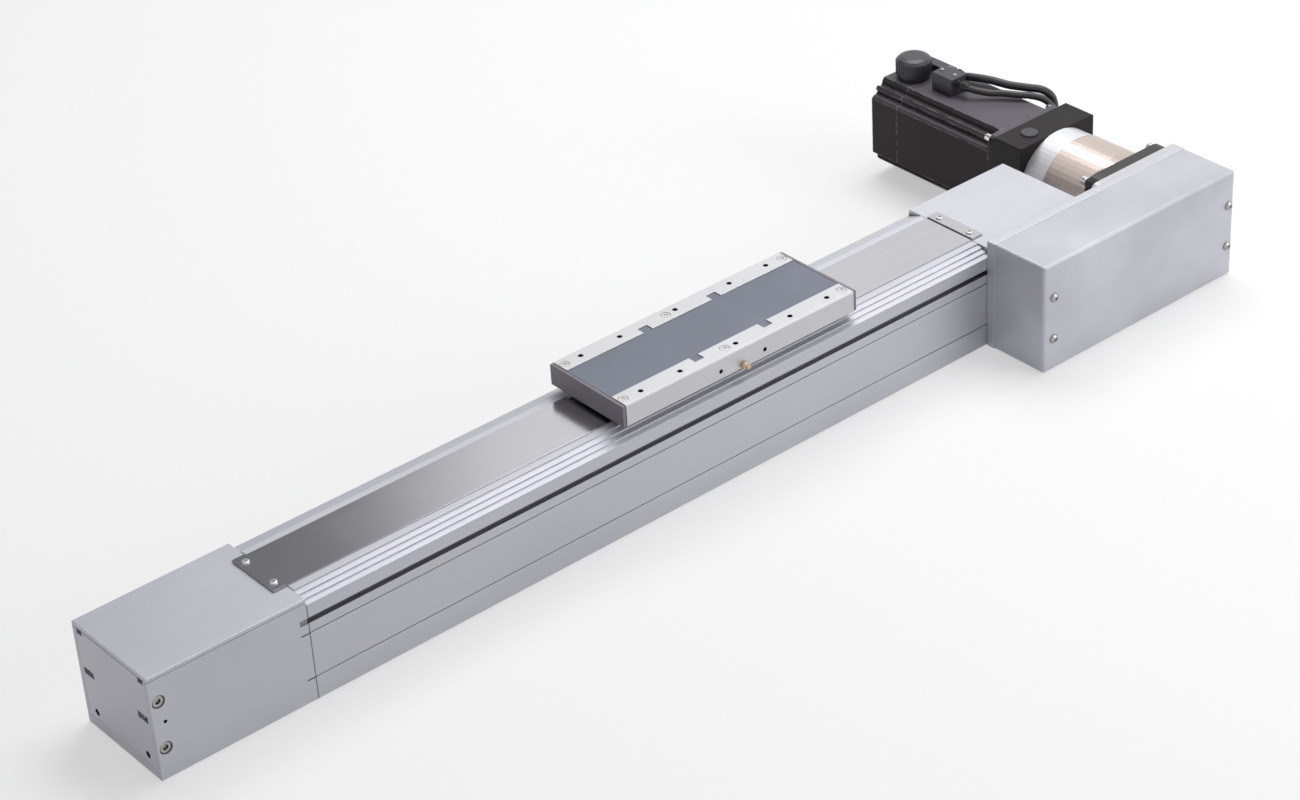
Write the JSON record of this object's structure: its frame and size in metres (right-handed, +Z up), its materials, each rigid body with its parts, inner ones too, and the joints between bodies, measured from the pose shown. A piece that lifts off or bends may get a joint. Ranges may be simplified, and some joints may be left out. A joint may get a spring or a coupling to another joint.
{
  "type": "belt-driven linear stage",
  "caption": "Belt-driven linear stage with a cover strip, a wide carriage, a side belt reduction, a planetary gearbox and a servo motor.",
  "frame": {"origin": "centre of the stage profile's underside, halfway between its two end faces", "axes": "+X along the stage towards the drive end, +Y across it towards the motor's side, +Z up"},
  "size_m": [1.2455, 0.4088, 0.1295],
  "materials": {
    "anodised_profile": "satin",
    "painted_cover": "satin",
    "bright_aluminium": "satin",
    "strip_steel": "brushed",
    "ring_steel": "brushed",
    "bearing_steel": "ground",
    "screw_steel": "plated",
    "slate_plate": "matt",
    "dark_plastic": "matt",
    "motor_black": "satin",
    "black_rubber": "matt",
    "brass": "turned"
  },
  "bodies": {
    "frame": {"base_extrusion": "anodised_profile", "guide_rail": "bearing_steel", "idler_housing": "anodised_profile", "idler_end_plate": "anodised_profile", "idler_top_cover": "anodised_profile", "end_screw_lower": "screw_steel", "end_screw_upper": "screw_steel", "tension_screw_near": "screw_steel", "tension_screw_far": "screw_steel", "drive_housing": "anodised_profile", "drive_end_plate": "anodised_profile", "drive_top_cover": "anodised_profile", "drive_bearing_near": "bearing_steel", "drive_bearing_far": "bearing_steel", "main_belt": "black_rubber", "steel_strip": "strip_steel", "strip_clamp_idler": "strip_steel", "strip_clamp_drive": "strip_steel", "drive_base_plate": "anodised_profile", "drive_cover": "painted_cover", "cover_screw_1": "screw_steel", "cover_screw_2": "screw_steel", "cover_screw_3": "screw_steel", "cover_screw_4": "screw_steel", "reduction_belt": "black_rubber", "gearbox_plate": "bright_aluminium", "gearbox_flange": "motor_black", "gearbox_ring_gear": "ring_steel", "gearbox_input_ring": "bright_aluminium", "motor_adapter": "motor_black", "adapter_plug": "dark_plastic", "motor_flange": "motor_black", "motor_body": "motor_black", "motor_rear_cover": "motor_black", "motor_round_cap": "motor_black", "power_connector": "dark_plastic", "encoder_connector": "dark_plastic", "power_lead": "black_rubber", "encoder_lead": "black_rubber", "power_plug": "dark_plastic", "encoder_plug": "dark_plastic"},
    "carriage": {"carriage_body": "bright_aluminium", "carriage_top_plate": "slate_plate", "end_cap_idler": "dark_plastic", "end_cap_drive": "dark_plastic", "belt_clamp": "bearing_steel", "grease_nipple": "brass", "guide_block_idler": "bearing_steel", "guide_block_drive": "bearing_steel"},
    "tensioner": {"tension_yoke": "anodised_profile", "idler_axle": "bearing_steel"},
    "idler": {"idler_pulley": "bright_aluminium", "idler_bearing_near": "bearing_steel", "idler_bearing_far": "bearing_steel"},
    "drive_shaft_group": {"drive_shaft": "bearing_steel", "drive_pulley": "bright_aluminium", "driven_pulley": "bright_aluminium"},
    "output_shaft_group": {"gearbox_output_shaft": "bearing_steel", "motor_pulley": "bright_aluminium"},
    "rotor": {"motor_shaft": "bearing_steel"}
  },
  "joints": [
    {"name": "carriage_slide", "type": "slide", "parent": "frame", "child": "carriage", "axis": [1, 0, 0], "range_m": [-0.335, 0.16], "deforming": ["steel_strip", "main_belt"]},
    {"name": "tension_slide", "type": "slide", "parent": "frame", "child": "tensioner", "axis": [1, 0, 0], "range_m": [-0.004, 0.002], "deforming": ["main_belt"]},
    {"name": "idler_spin", "type": "hinge", "parent": "tensioner", "child": "idler", "pos_m": [-0.453, 0, 0.057], "axis": [0, 1, 0], "range_deg": [-680, 340], "deforming": ["main_belt"]},
    {"name": "drive_shaft_spin", "type": "hinge", "parent": "frame", "child": "drive_shaft_group", "pos_m": [0.467, 0, 0.057], "axis": [0, 1, 0], "range_deg": [-680, 340], "deforming": ["main_belt", "reduction_belt"]},
    {"name": "output_shaft_spin", "type": "hinge", "parent": "frame", "child": "output_shaft_group", "pos_m": [0.607, 0, 0.057], "axis": [0, 1, 0], "range_deg": [-680, 340], "deforming": ["reduction_belt"]},
    {"name": "motor_spin", "type": "hinge", "parent": "frame", "child": "rotor", "pos_m": [0.607, 0, 0.057], "axis": [0, 1, 0], "range_deg": [-3400, 1700]}
  ],
  "couplings": [
    {"joint": "idler_spin", "follows": "carriage_slide", "rad_per_m": 34.907},
    {"joint": "drive_shaft_spin", "follows": "carriage_slide", "rad_per_m": 34.907},
    {"joint": "output_shaft_spin", "follows": "carriage_slide", "rad_per_m": 34.907},
    {"joint": "motor_spin", "follows": "carriage_slide", "rad_per_m": 174.53}
  ]
}
